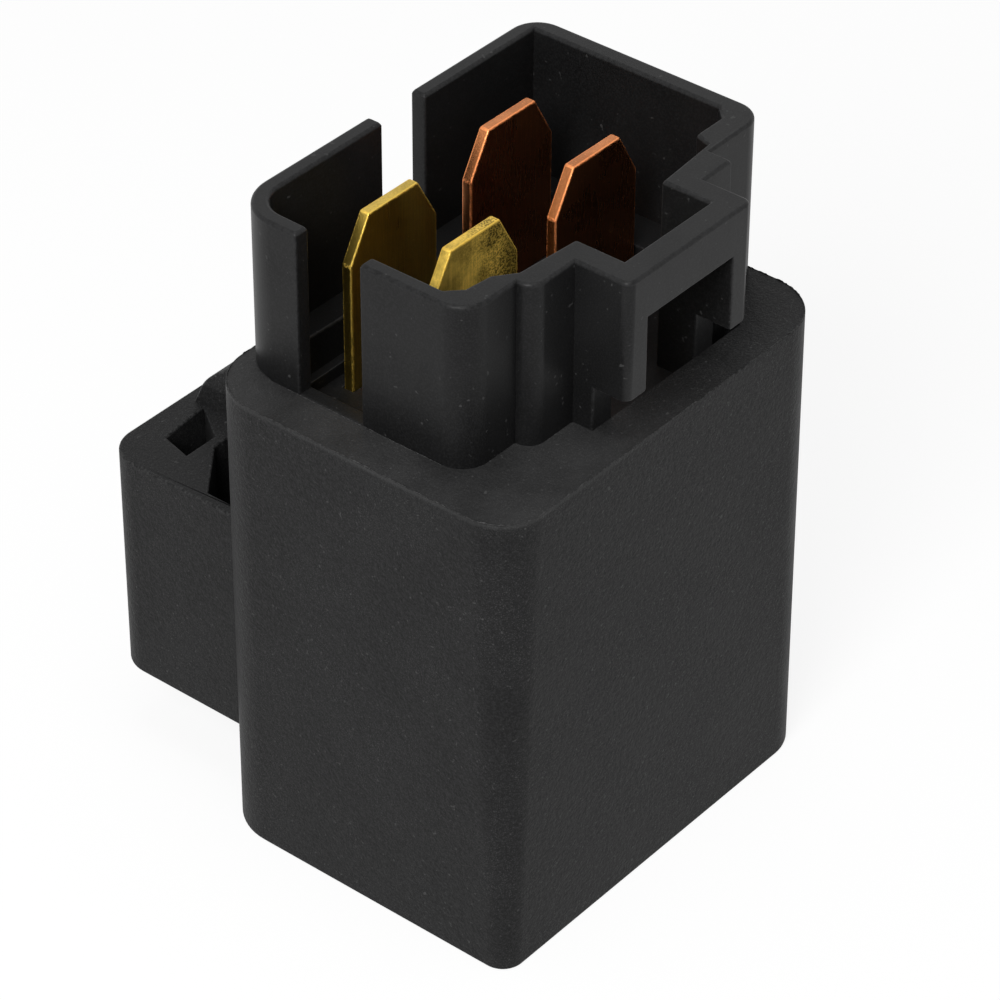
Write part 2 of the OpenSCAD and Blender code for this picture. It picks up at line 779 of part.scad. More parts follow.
module yoke() {
    color([0.65, 0.65, 0.67]) difference() {
        union() {
            block([yoke_left, -yoke_half_width, pole_bottom],
                [yoke_left + yoke_leg, yoke_half_width, yoke_top]);
            block([yoke_left, -yoke_half_width, bobbin_top],
                [coil_x + core_radius + yoke_nose, yoke_half_width, yoke_top]);
            block([tail_left, -lug_half_width, lug_z - lug_thickness / 2],
                [yoke_left + merge, lug_half_width, lug_z + lug_thickness / 2]);
        }
        bar(coil_x, 0, core_radius, bobbin_top - cut, yoke_top + cut, fine);
        bar(spring_x, 0, hook_hole, lug_z - cut, lug_z + cut, fine);
    }
}

// Two holes or shanks where the leaf is riveted to the armature
module leaf_rivet_bar(y, z0) {
    bar(leaf_rivet_x, y, leaf_rivet_radius, z0, hinge_z - armature_thickness / 3, fine);
}

module armature() {
    color([0.62, 0.62, 0.64]) at_rest() difference() {
        union() {
            block([yoke_left, -armature_half_width, armature_bottom],
                [armature_right, armature_half_width, hinge_z]);
            block([tail_left, -lug_half_width, hinge_z - lug_thickness],
                [yoke_left + merge, lug_half_width, hinge_z]);
        }
        bar(spring_x, 0, hook_hole, armature_bottom, hinge_z + cut, fine);
        for (side = [-1, 1]) {
            leaf_rivet_bar(side * leaf_rivet_spacing / 2, armature_bottom - cut);
        }
    }
}

module contact_leaf() {
    neck_y = contact_y + contact_radius;
    neck_x = contact_x - contact_radius;
    bevel = contact_radius / 2;
    w = leaf_half_width;
    color([0.75, 0.5, 0.3]) at_rest() difference() {
        raise(leaf_bottom, armature_bottom)
            polygon([[leaf_left, -w], [leaf_right - bevel, -w], [leaf_right, -w + bevel],
                [leaf_right, neck_y - bevel], [leaf_right - bevel, neck_y], [neck_x, neck_y],
                [neck_x - bevel, neck_y + bevel], [neck_x - bevel, w], [leaf_left, w]]);
        bar(contact_x, contact_y, shank_radius, leaf_bottom - cut, armature_bottom + cut, fine);
        for (side = [-1, 1]) {
            leaf_rivet_bar(side * leaf_rivet_spacing / 2, leaf_bottom - cut);
        }
    }
}

module leaf_rivet(side) {
    y = side * leaf_rivet_spacing / 2;
    color([0.7, 0.7, 0.72]) at_rest() union() {
        bar(leaf_rivet_x, y, leaf_rivet_radius + rivet_rim, leaf_bottom - rivet_head, leaf_bottom, fine);
        leaf_rivet_bar(y, leaf_bottom - rivet_head);
    }
}

module leaf_rivet_front() {
    leaf_rivet(-1);
}

module leaf_rivet_rear() {
    leaf_rivet(1);
}

module moving_contact() {
    z0 = leaf_bottom - rivet_head;
    color([0.8, 0.8, 0.82]) at_rest() union() {
        bar(contact_x, contact_y, shank_radius + rivet_rim, z0, leaf_bottom, fine);
        bar(contact_x, contact_y, shank_radius, z0, armature_bottom + merge, fine);
        bar(contact_x, contact_y, contact_radius, armature_bottom, armature_bottom + moving_height, fine);
    }
}

module fixed_contact() {
    z1 = foot_top + rivet_head;
    color([0.8, 0.8, 0.82]) union() {
        bar(contact_x, contact_y, contact_radius, fixed_bottom, foot_bottom, fine);
        bar(contact_x, contact_y, shank_radius, foot_bottom - merge, z1, fine);
        bar(contact_x, contact_y, shank_radius + rivet_rim, foot_top, z1, fine);
    }
}

// Bent strip under the contact leaf, hung from the base and seated on the case's floor
module back_stop() {
    x0 = contact_x - stop_width / 2;
    x1 = contact_x + stop_width / 2;
    y0 = -case_y + stop_inset;
    color([0.66, 0.66, 0.68]) union() {
        block([x0, y0, case_floor_top], [x1, y0 + stop_thickness, base_underside]);
        block([x0, y0, case_floor_top], [x1, contact_y + contact_radius, stop_top]);
    }
}

// Wire ring of the spring's mean radius, round its axis or standing across X
module wire_ring(y, z, turn) {
    translate([spring_x, y, z]) rotate(turn) rotate_extrude($fn = fine)
        translate([spring_radius, 0]) circle(r = spring_wire, $fn = thin);
}

// Tilted coils along the axis, tied by the wire that ends in a closed hook through each hole
module return_spring() {
    tilt = atan(spring_pitch / 4 / spring_radius);
    color([0.7, 0.7, 0.72]) union() {
        for (i = [0:spring_coils - 1]) {
            wire_ring(0, tail_z + spring_radius + (i + 1 / 2) * spring_pitch, [tilt, 0, 0]);
        }
        for (z = [tail_z, lug_z]) {
            wire_ring(-spring_radius, z, [0, 90, 0]);
        }
        bar(spring_x, -spring_radius, spring_wire, tail_z + spring_radius, lug_z - spring_radius, thin);
    }
}

// Quarter bend of the shunt in the plane across X
module braid_quarter(y, z, turn) {
    translate([braid_x, y, z]) rotate([turn, 0, 0]) rotate([0, 90, 0])
        rotate_extrude(angle = 90, $fn = fine)
        translate([braid_bend, 0]) circle(r = braid_radius, $fn = thin);
}

// Flexible shunt from the rear copper blade's tail down to the contact leaf
module shunt_braid() {
    top_y = copper_rear_y - braid_radius;
    low_y = leaf_half_width - braid_radius - braid_margin;
    low_z = hinge_z - armature_thickness * cos(open_angle) - (braid_x - hinge_x) * sin(open_angle) + merge;
    level = low_z + braid_bend + braid_foot;
    color([0.75, 0.45, 0.3]) union() {
        bar(braid_x, top_y, braid_radius, level + braid_bend,
            base_underside - common_tail_length + braid_weld, thin);
        braid_quarter(top_y - braid_bend, level + braid_bend, 0);
        translate([braid_x, top_y - braid_bend, level]) rotate([90, 0, 0])
            cylinder(r = braid_radius, h = top_y - low_y - 2 * braid_bend, $fn = thin);
        braid_quarter(low_y + braid_bend, level - braid_bend, 180);
        bar(braid_x, low_y, braid_radius, low_z, level - braid_bend, thin);
    }
}

module resistor_body() {
    color([0.75, 0.65, 0.5]) translate([resistor_x, resistor_length / 2, base_underside - resistor_drop])
        rotate([90, 0, 0]) cylinder(r = resistor_radius, h = resistor_length, $fn = fine);
}

// Lead from one end of the resistor to a brass tail's inner face
module resistor_lead(side) {
    y = side * (brass_rear_y - lead_radius);
    end_x = brass_x + lead_radius;
    color([0.75, 0.75, 0.77]) translate([0, 0, base_underside - resistor_drop]) union() {
        translate([resistor_x, max(y, side * resistor_length / 2), 0]) rotate([90, 0, 0])
            cylinder(r = lead_radius, h = abs(y) - resistor_length / 2, $fn = thin);
        translate([resistor_x, y, 0]) sphere(r = lead_radius, $fn = thin);
        translate([end_x, y, 0]) rotate([0, 90, 0])
            cylinder(r = lead_radius, h = resistor_x - end_x, $fn = thin);
    }
}

module resistor_lead_front() {
    resistor_lead(-1);
}

module resistor_lead_rear() {
    resistor_lead(1);
}

// Wire from inside the winding's surface to a brass tail's inner face
module coil_lead(side) {
    x = brass_x + wire_offset;
    start = sqrt(winding_radius ^ 2 - (x - coil_x) ^ 2) - wire_radius;
    color([0.6, 0.25, 0.1])
        translate([x, side > 0 ? brass_rear_y : -start, base_underside - wire_drop])
        rotate([90, 0, 0]) cylinder(r = wire_radius, h = brass_rear_y - start, $fn = thin);
}

module coil_lead_front() {
    coil_lead(-1);
}

module coil_lead_rear() {
    coil_lead(1);
}

rubber_boot();
connector_base();
inner_case();
coil_blade_rear();
coil_blade_front();
contact_blade_rear();
contact_blade_front();
bobbin();
coil_winding();
iron_core();
yoke();
armature();
contact_leaf();
leaf_rivet_front();
leaf_rivet_rear();
moving_contact();
fixed_contact();
back_stop();
return_spring();
shunt_braid();
resistor_body();
resistor_lead_front();
resistor_lead_rear();
coil_lead_front();
coil_lead_rear();
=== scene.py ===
"""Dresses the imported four-blade relay in its rubber, plastic and metal finishes."""

import math

import bmesh
import bpy
from bpy.props import FloatProperty, FloatVectorProperty, PointerProperty
from mathutils import Matrix, Vector, noise


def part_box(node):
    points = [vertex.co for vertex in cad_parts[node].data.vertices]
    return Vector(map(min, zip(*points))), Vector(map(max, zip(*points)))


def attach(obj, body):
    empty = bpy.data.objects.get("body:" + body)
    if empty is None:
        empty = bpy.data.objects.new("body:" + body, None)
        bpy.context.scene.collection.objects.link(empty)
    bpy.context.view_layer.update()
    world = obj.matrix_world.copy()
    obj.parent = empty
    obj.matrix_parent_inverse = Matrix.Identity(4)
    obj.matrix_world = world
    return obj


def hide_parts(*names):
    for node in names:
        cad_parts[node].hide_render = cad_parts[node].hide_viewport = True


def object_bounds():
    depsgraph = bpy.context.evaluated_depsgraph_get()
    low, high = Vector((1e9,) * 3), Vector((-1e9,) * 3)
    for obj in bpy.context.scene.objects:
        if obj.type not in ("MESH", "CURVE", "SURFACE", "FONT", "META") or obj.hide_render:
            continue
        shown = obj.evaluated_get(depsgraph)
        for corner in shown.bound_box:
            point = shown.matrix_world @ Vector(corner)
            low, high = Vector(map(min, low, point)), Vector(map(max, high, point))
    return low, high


bl_info = {
    "name": "Four-blade relay",
    "version": (1, 0, 0),
    "blender": (4, 5, 0),
    "location": "3D View > Sidebar > Relay",
    "description": "Dresses the packed relay in its rubber, plastic and metal finishes",
    "category": "Object",
}

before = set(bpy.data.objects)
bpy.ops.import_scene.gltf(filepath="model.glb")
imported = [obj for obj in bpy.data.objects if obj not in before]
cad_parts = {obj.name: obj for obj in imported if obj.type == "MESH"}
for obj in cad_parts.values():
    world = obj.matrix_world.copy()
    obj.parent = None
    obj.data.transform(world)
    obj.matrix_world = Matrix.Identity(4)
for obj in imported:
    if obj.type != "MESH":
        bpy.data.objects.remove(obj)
CAD_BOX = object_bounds()

# Points of a CAD mesh closer than this are one point
WELD = 1e-6
# Faces that meet flatter than this are one face
FLAT = math.radians(0.5)
# Edges sharper than the first are rounded, and than the second stay sharp in the shading
SHARP = math.radians(25)
CREASE = math.radians(34)
# How strongly a rounded edge shows wear and a painted highlight, and how strongly the flash shows
# a painted highlight
EDGE_WEAR_AND_HIGHLIGHT = 1.0
FLASH_HIGHLIGHT = 2.5

# Centres of two round corners of the boot, each with how much less its radius is at the foot
FOOT_CORNERS = (((-0.0101, -0.00725), 0.0012), ((0.0092, -0.00635), 0.0005))
# Centre of the loop's round corner on one side, and how much less its radius is made
LOOP_CORNER = (0.0081, 0.016)
LOOP_CORNER_LESS = 0.0004
# The loop's raised pad lies within this distance of the middle
PAD_HALF = 0.00451
# Place along Y where the pad's rounded end starts
PAD_END = 0.0159
# Height of the loop's top, from which the pad rises
LOOP_TOP = 0.018
# Slope of the pad's slanted end, and the height at which the end stays where it is
PAD_LEAN = 0.45
PAD_LEAN_FROM = 0.0188
# Centre of the shroud's round back corner, and how much less its radius is made
SHROUD_CORNER = (-0.00685, 0.0063)
SHROUD_CORNER_LESS = 0.0006
# Inner corner of the wall beside the latch's pocket, and the move that makes the wall thicker
THIN_CORNER = (0.00851, -0.00495)
THIN_CORNER_MOVE = (0.00005, 0.00035, 0)
# Points of the thin corner lie within this distance of it
THIN_CORNER_REACH = 0.00003

# Length of a step of the torn flash, and the flash's thickness
FLASH_STEP = 0.00012
FLASH_THICKNESS = 0.00004
# Height of the flash on the lip round the base, as a share of the rim's
LIP_SHARE = 0.6
# Depths under the boot's rim where its painted light ends, and where it is full
PAINTED_RIM_LIGHT_DEPTHS = (0.0003, 0.00005)
# Places along X where the rim's painted light starts to thin out, and where it ends
PAINTED_RIM_LIGHT_FADE = (-0.006, 0.003)
# Places along X where the painted dark reflection on the mottled blade starts, and where it is
# full
PAINTED_REFLECTION_FADE = (-0.0042, -0.0008)

# Distance from the middle of the floor to its sides
FLOOR_REACH = 3
# Brightness of the floor's own glow, and its share in how the floor looks in view
FLOOR_GLOW = 1.07
GLOW_SHARE = 0.8
# Soft lamps: place from the middle of the relay, diameter, and power in parts of the setting
LAMPS = {
    "key_softbox": ((-0.32, -0.11, 0.28), 0.2, 1.25),
    "top_softbox": ((-0.05, -0.05, 0.55), 0.25, 0.5),
}
# The photograph's camera: azimuth, elevation and roll in degrees, and place in metres
CAMERA_ANGLES = (-50.70, 36.60, 0.30)
CAMERA_PLACE = (-0.1365, -0.1106, 0.1480)


class BootSettings(bpy.types.PropertyGroup):
    """Sizes and colours of the rubber boot"""

    colour: FloatVectorProperty(
        name="Rubber", description="Colour of the rubber", subtype="COLOR",
        default=(0.0108, 0.0108, 0.011), min=0, max=1)
    # This colour is also used for the painted light on the rim and the painted highlight on the
    # edges and flash
    dust: FloatVectorProperty(
        name="Dust", description="Colour of the specks of dust", subtype="COLOR",
        default=(0.11, 0.11, 0.11), min=0, max=1)
    edge: FloatProperty(
        name="Edges", description="Rounding of the moulded edges", unit="LENGTH",
        default=0.00013, min=0.00005, max=0.0003)
    foot_edge: FloatProperty(
        name="Foot", description="Rounding of the edge that the boot stands on", unit="LENGTH",
        default=0.00014, min=0.00005, max=0.0005)
    flash: FloatProperty(
        name="Flash", description="Greatest height of the flash along the rim", unit="LENGTH",
        default=0.0001, min=0, max=0.0005)


class BaseSettings(bpy.types.PropertyGroup):
    """Sizes and colours of the connector base"""

    colour: FloatVectorProperty(
        name="Plastic", description="Colour of the moulded plastic", subtype="COLOR",
        default=(0.0085, 0.0085, 0.0087), min=0, max=1)
    dust: FloatVectorProperty(
        name="Dust", description="Colour of the specks of dust", subtype="COLOR",
        default=(0.08, 0.08, 0.08), min=0, max=1)
    edge: FloatProperty(
        name="Edges", description="Rounding of the moulded edges", unit="LENGTH",
        default=0.00012, min=0.00005, max=0.0003)
    rim_edge: FloatProperty(
        name="Rim", description="Rounding of the shroud's top edges", unit="LENGTH",
        default=0.0002, min=0.0001, max=0.0003)


class BladeSettings(bpy.types.PropertyGroup):
    """Sizes and colours of the blades"""

    brass: FloatVectorProperty(
        name="Brass", description="Colour of the coil blades", subtype="COLOR",
        default=(0.75, 0.52, 0.1), min=0, max=1)
    copper: FloatVectorProperty(
        name="Copper", description="Colour of the contact blades", subtype="COLOR",
        default=(0.92, 0.34, 0.125), min=0, max=1)
    edge: FloatProperty(
        name="Edges", description="Width of the coined edges", unit="LENGTH",
        default=0.0001, min=0.00002, max=0.0002)


class StageSettings(bpy.types.PropertyGroup):
    """Floor, lamps and camera"""

    floor: FloatVectorProperty(
        name="Floor", description="Colour of the floor", subtype="COLOR",
        default=(0.9, 0.9, 0.9), min=0, max=1)
    lamps: FloatProperty(
        name="Lamps", description="Power of the soft lamps", unit="POWER",
        default=1.0, min=0, max=10)
    sky: FloatProperty(
        name="Sky", description="Light from all around", default=0.28, min=0, max=2)
    lens: FloatProperty(
        name="Lens", description="Focal length of the camera, in millimetres",
        default=158.47, min=20, max=300)


class Value:
    """A shader value that takes part in Python sums, each of which adds a Math node"""

    def __init__(self, nodes, socket):
        self.nodes = nodes
        self.socket = socket

    def __add__(self, other):
        return self.nodes.maths("ADD", self, other)

    def __sub__(self, other):
        return self.nodes.maths("SUBTRACT", self, other)

    def __rsub__(self, other):
        return self.nodes.maths("SUBTRACT", other, self)

    def __mul__(self, other):
        return self.nodes.maths("MULTIPLY", self, other)

    __radd__ = __add__
    __rmul__ = __mul__


class Nodes:
    """The node tree of a material or a world, and the one method that adds to it"""

    def __init__(self, owner):
        owner.use_nodes = True
        self.tree = owner.node_tree
        self.tree.nodes.clear()

    def add(self, kind, settings=None, sockets=None):
        """Adds a node: its settings first, then the values or links of its sockets"""
        node = self.tree.nodes.new(kind)
        for name, value in (settings or {}).items():
            setattr(node, name, value)
        for key, value in (sockets or {}).items():
            if isinstance(value, Value):
                value = value.socket
            if isinstance(value, bpy.types.NodeSocket):
                self.tree.links.new(value, node.inputs[key])
            else:
                node.inputs[key].default_value = value
        return node

    def maths(self, operation, *values):
        """Result of a Math node"""
        node = self.add("ShaderNodeMath", {"operation": operation}, dict(enumerate(values)))
        return Value(self, node.outputs[0])

    def in_view(self):
        """1 for what is seen, straight, in gloss or through glass, and 0 for what only lights"""
        path = self.add("ShaderNodeLightPath").outputs
        indirect = self.maths("MAXIMUM", path["Is Glossy Ray"], path["Is Transmission Ray"])
        return self.maths("MAXIMUM", path["Is Camera Ray"], indirect)


class Finish(Nodes):
    """A procedural material and the patterns that it is made of"""

    def __init__(self, name):
        self.material = bpy.data.materials.new(name)
        super().__init__(self.material)
        self.place = self.add("ShaderNodeTexCoord").outputs["Object"]

    def stretched(self, scale):
        """Object coordinates drawn out along the axes, for grain that runs one way"""
        node = self.add("ShaderNodeMapping", sockets={"Vector": self.place, "Scale": scale})
        return node.outputs[0]

    def grain(self, per_metre, detail, place=None):
        """Even noise from 0 to 1 with so many lumps to the metre"""
        node = self.add("ShaderNodeTexNoise", sockets={
            "Vector": place or self.place, "Scale": per_metre, "Detail": detail})
        return Value(self, node.outputs["Fac"])

    def spread(self, value, low, high):
        """A value's range from low to high, drawn out smoothly to 0 to 1"""
        node = self.add("ShaderNodeMapRange", {"interpolation_type": "SMOOTHSTEP"}, {
            "Value": value, "From Min": low, "From Max": high})
        return Value(self, node.outputs[0])

    def along(self, axis):
        """Place along X, Y or Z, in metres"""
        node = self.add("ShaderNodeSeparateXYZ", sockets={0: self.place})
        return Value(self, node.outputs[axis])

    def wear_and_highlight(self):
        """The rounded edges and the flash, which a piece marks on its mesh for wear and a painted
        highlight
        """
        node = self.add("ShaderNodeAttribute", {"attribute_name": "edge"})
        return Value(self, node.outputs["Fac"])

    def mix(self, part, first, second):
        """A colour between two others"""
        # A Mix node has its two colours at inputs 6 and 7, and the result at output 2
        ends = {0: part, 6: self.solid(first), 7: self.solid(second)}
        return self.add("ShaderNodeMix", {"data_type": "RGBA"}, ends).outputs[2]

    @staticmethod
    def solid(colour):
        """A socket as it is, or three numbers with full opacity"""
        return colour if isinstance(colour, bpy.types.NodeSocket) else (*colour, 1.0)

    def coat(self, colour, roughness, height, depth, **constants):
        """Joins the patterns to the shader: height is in parts of depth, which is in metres"""
        bump = self.add("ShaderNodeBump", sockets={"Height": height, "Distance": depth})
        fixed = {key.replace("_", " "): value for key, value in constants.items()}
        shader = self.add("ShaderNodeBsdfPrincipled", sockets={
            "Base Color": colour, "Roughness": roughness, "Normal": bump.outputs[0], **fixed})
        self.add("ShaderNodeOutputMaterial", sockets={"Surface": shader.outputs[0]})
        return self.material


def rubber_finish(settings, rim):
    """Matt charcoal rubber with a fine grain and specks of dust, painted light on its rim that
    fades out where the latch housing shades it, and moulded edges made paler by wear and a
    painted highlight
    """
    finish = Finish("boot_rubber")
    colour, dust = Vector(settings.colour), Vector(settings.dust)
    clouds = finish.spread(finish.grain(260, 4), 0.3, 0.7)
    grain = finish.grain(7000, 3)
    pits = finish.grain(2600, 2)
    fine = finish.spread(finish.grain(16000, 1), 0.56, 0.7)
    specks = finish.spread(finish.grain(4200, 1), 0.7, 0.78)
    base = finish.mix(clouds, colour * 0.8, colour * 1.2)
    base = finish.mix(finish.spread(grain, 0.35, 0.75) * 0.7, base, colour * 2.2)
    base = finish.mix(fine * (clouds * 0.4 + 0.15), base, dust * 0.7)
    # Painted light on the rim's top, in the dust colour, fading out towards +X where the latch
    # housing shades the ledge
    on_rim = finish.spread(finish.along("Z"), *(rim - depth for depth in PAINTED_RIM_LIGHT_DEPTHS))
    painted_rim_light = on_rim * (1 - finish.spread(finish.along("X"), *PAINTED_RIM_LIGHT_FADE))
    base = finish.mix(painted_rim_light * (clouds * 0.12 + 0.12), base, dust)
    # Paler moulded edges and flash: wear, and a painted highlight along them, in the dust colour
    base = finish.mix(finish.wear_and_highlight() * finish.spread(grain, 0.4, 0.65) * 0.3, base, dust * 0.7)
    base = finish.mix(specks * 0.4, base, dust)
    roughness = 0.5 + clouds * 0.08 + specks * 0.1
    return finish.coat(base, roughness, grain * 0.8 + pits * 0.8, depth=0.00004,
                       Specular_IOR_Level=0.11)


def base_finish(settings):
    """Smoother black plastic with faint flow marks, dust, and edges made brighter by rubbing and
    a painted highlight
    """
    finish = Finish("base_plastic")
    colour, dust = Vector(settings.colour), Vector(settings.dust)
    clouds = finish.spread(finish.grain(320, 3), 0.3, 0.7)
    flow = finish.grain(1, 3, finish.stretched((900, 900, 120)))
    grain = finish.grain(5200, 3)
    specks = finish.spread(finish.grain(3000, 1), 0.72, 0.78)
    fine = finish.spread(finish.grain(11000, 2), 0.4, 0.7)
    base = finish.mix(clouds, colour * 0.8, colour * 1.15)
    base = finish.mix(fine * 0.5, base, colour * 2.4)
    # Brighter rubbed edges: wear, and a painted highlight along them
    base = finish.mix(finish.wear_and_highlight() * finish.spread(grain, 0.35, 0.6) * 0.3, base, colour * 4)
    base = finish.mix(specks * 0.5, base, dust)
    roughness = 0.36 + flow * 0.1 + specks * 0.2
    return finish.coat(base, roughness, grain * 0.5 + flow * 0.5, depth=0.000007,
                       Specular_IOR_Level=0.16)


def blade_finish(name, colour, tarnish, roughness, mottle=0.0):
    """Stamped sheet metal, drawn along the blade, duller in its middle and bright at the edges,
    partly as a painted highlight, with a painted dark reflection on the mottled blade towards +X
    """
    finish = Finish(name)
    streaks = finish.grain(1, 3, finish.stretched((9000, 9000, 350)))
    clouds = finish.spread(finish.grain(420, 4), 0.35, 0.65)
    pits = finish.spread(finish.grain(11000, 3), 0.4, 0.62)
    specks = finish.spread(finish.grain(9000, 1), 0.66, 0.74)
    patches = finish.spread(finish.grain(700, 6), 0.42, 0.6)
    # Painted dark reflection: the dark pits of the mottled blade grow denser towards +X, where it
    # mirrors the dark wall of the latch pocket
    painted_dark_reflection = finish.spread(finish.along("X") + clouds * 0.001, *PAINTED_REFLECTION_FADE)
    base = finish.mix(clouds, tarnish * 1.4, tarnish)
    base = finish.mix(finish.spread(streaks, 0.3, 0.7) * 0.4, base, tarnish * 0.6)
    spots = patches * 0.5 + pits * (painted_dark_reflection * 0.9 + 0.1)
    base = finish.mix(spots * mottle, base, tarnish * 0.12)
    # Bright bare metal on the coined edges, partly a painted highlight
    base = finish.mix(finish.wear_and_highlight() * (streaks * 0.4 + pits * 0.4 + 0.3), base, colour)
    base = finish.mix(specks * 0.6, base, colour)
    dull = streaks * 0.1 + clouds * 0.06 + roughness
    dull = dull + finish.wear_and_highlight() * (pits * 0.3 + 0.02)
    return finish.coat(base, dull, streaks * 0.5 + pits * 0.5, depth=0.000004, Metallic=1.0)


def metal_finish(name, colour, roughness, drawn=(2500, 2500, 2500)):
    """Plain inner metal with a worked surface, of so many lumps to the metre along each axis"""
    finish = Finish(name)
    colour = Vector(colour)
    worked = finish.grain(1, 3, finish.stretched(drawn))
    clouds = finish.spread(finish.grain(500, 3), 0.3, 0.7)
    base = finish.mix(clouds * 0.5 + worked * 0.3, colour, colour * 0.7)
    return finish.coat(base, worked * 0.2 + roughness, worked, depth=0.00001, Metallic=1.0)


def moulded_finish(name, colour, roughness):
    """Plain inner plastic or ceramic with a fine grain"""
    finish = Finish(name)
    colour = Vector(colour)
    clouds = finish.spread(finish.grain(400, 3), 0.3, 0.7)
    grain = finish.grain(3000, 3)
    base = finish.mix(clouds * 0.6 + grain * 0.3, colour, colour * 0.75)
    return finish.coat(base, grain * 0.12 + roughness, grain, depth=0.00002)


def wound_finish(name, colour, turn):
    """Wound or braided wire, with one ring of the pattern for each turn, turn metres high"""
    finish = Finish(name)
    colour = Vector(colour)
    wave = finish.maths("SINE", finish.along("Z") * (2 * math.pi / turn)) * 0.5 + 0.5
    clouds = finish.spread(finish.grain(500, 3), 0.3, 0.7)
    # The grooves between turns are darker, as painted shade
    base = finish.mix(wave * 0.7 + clouds * 0.3, colour * 0.45, colour)
    return finish.coat(base, 0.42 - wave * 0.15, wave, depth=turn / 4, Metallic=0.6)


def copy_of(node):
    """Copy of a CAD node's mesh, with its loose triangles made whole flat faces"""
    shape = bmesh.new()
    shape.from_mesh(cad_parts[node].data)
    bmesh.ops.remove_doubles(shape, verts=shape.verts, dist=WELD)
    bmesh.ops.dissolve_limit(shape, angle_limit=FLAT, verts=shape.verts, edges=shape.edges)
    return shape


def tighten_corner(shape, centre, less, low=-math.inf, high=math.inf):
    """Makes the radius of an upright round corner smaller by less, between two heights"""
    shift = Vector([math.copysign(less, place) for place in centre])
    centre = Vector(centre)
    for vert in shape.verts:
        arm = vert.co.xy - centre
        near = low - WELD < vert.co.z < high + WELD
        if near and arm.x * shift.x > -WELD ** 2 and arm.y * shift.y > -WELD ** 2:
            place = centre + shift + arm.normalized() * (arm.length - less)
            vert.co.x, vert.co.y = place


def slant_pad(shape):
    """Slants the rounded end of the raised pad on the boot's loop"""
    for vert in shape.verts:
        x, y, z = vert.co
        if y > PAD_END and abs(x) < PAD_HALF and z > LOOP_TOP - WELD:
            vert.co.y -= (z - PAD_LEAN_FROM) * PAD_LEAN


def edge_mark_layer(shape):
    """The layer of the faces that holds how strongly each of them shows wear and a painted
    highlight
    """
    layers = shape.faces.layers.float
    return layers.get("edge") or layers.new("edge")


def round_edges(shape, radius, segments, wanted=lambda edge: True):
    """Rounds the sharp outer edges that are wanted, and marks the new strips for wear and a
    painted highlight
    """
    edge_marks = edge_mark_layer(shape)
    edges = [edge for edge in shape.edges
             if edge.is_convex and edge.calc_face_angle(0) > SHARP and wanted(edge)]
    made = bmesh.ops.bevel(
        shape, geom=edges, offset=radius, offset_type="OFFSET", segments=segments,
        profile=0.5, material=-1, affect="EDGES", clamp_overlap=False)
    for face in made["faces"]:
        face[edge_marks] = EDGE_WEAR_AND_HIGHLIGHT


def torn_share(place):
    """Share of the flash's height that broad and fine tears leave at a place"""
    torn = noise.noise(place * 1500) * 0.5 + noise.noise(place * 7000) * 0.7
    return min(max(0.3 + torn, 0.1), 1)


def ragged_strip(shape, wanted, height, growth):
    """Torn upright strip of flash on the wanted edges, grown outwards by a share of its size"""
    strip = shape.copy()
    edge_marks = edge_mark_layer(strip)
    kept = {edge for edge in strip.edges if wanted(edge)}
    ends = {vert for edge in kept for vert in edge.verts}
    bmesh.ops.delete(strip, geom=[vert for vert in strip.verts if vert not in ends],
                     context="VERTS")
    bmesh.ops.delete(strip, geom=strip.faces[:], context="FACES_ONLY")
    bmesh.ops.delete(strip, geom=[edge for edge in strip.edges if edge not in kept],
                     context="EDGES_FACES")
    for edge in strip.edges[:]:
        cuts = int(edge.calc_length() / FLASH_STEP)
        if cuts:
            bmesh.ops.subdivide_edges(strip, edges=[edge], cuts=cuts)
    made = bmesh.ops.extrude_edge_only(strip, edges=strip.edges[:])
    for vert in made["geom"]:
        if isinstance(vert, bmesh.types.BMVert):
            vert.co.z += height * torn_share(vert.co)
    bmesh.ops.scale(strip, vec=(1 + growth, 1 + growth, 1), verts=strip.verts)
    # The flash is marked for a painted highlight, which makes it paler
    for face in strip.faces:
        face[edge_marks] = FLASH_HIGHLIGHT
    return strip


def finish_piece(name, shape, material, slot, *nodes):
    """Makes a bmesh a piece on the relay's body, which stands for the CAD nodes if it has any"""
    for edge in shape.edges:
        edge.smooth = edge.calc_face_angle(0) < CREASE
    for face in shape.faces:
        face.smooth = True
    mesh = bpy.data.meshes.new(name)
    shape.to_mesh(mesh)
    shape.free()
    mesh.materials.append(material)
    piece = bpy.data.objects.new(name, mesh)
    bpy.context.scene.collection.objects.link(piece)
    even = piece.modifiers.new("even_shading", "WEIGHTED_NORMAL")
    even.keep_sharp = True
    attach(piece, "relay_body")
    if nodes:
        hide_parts(*nodes)
    return piece


def dress(material, *nodes):
    """Gives CAD nodes a finish"""
    for node in nodes:
        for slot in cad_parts[node].material_slots:
            slot.material = material


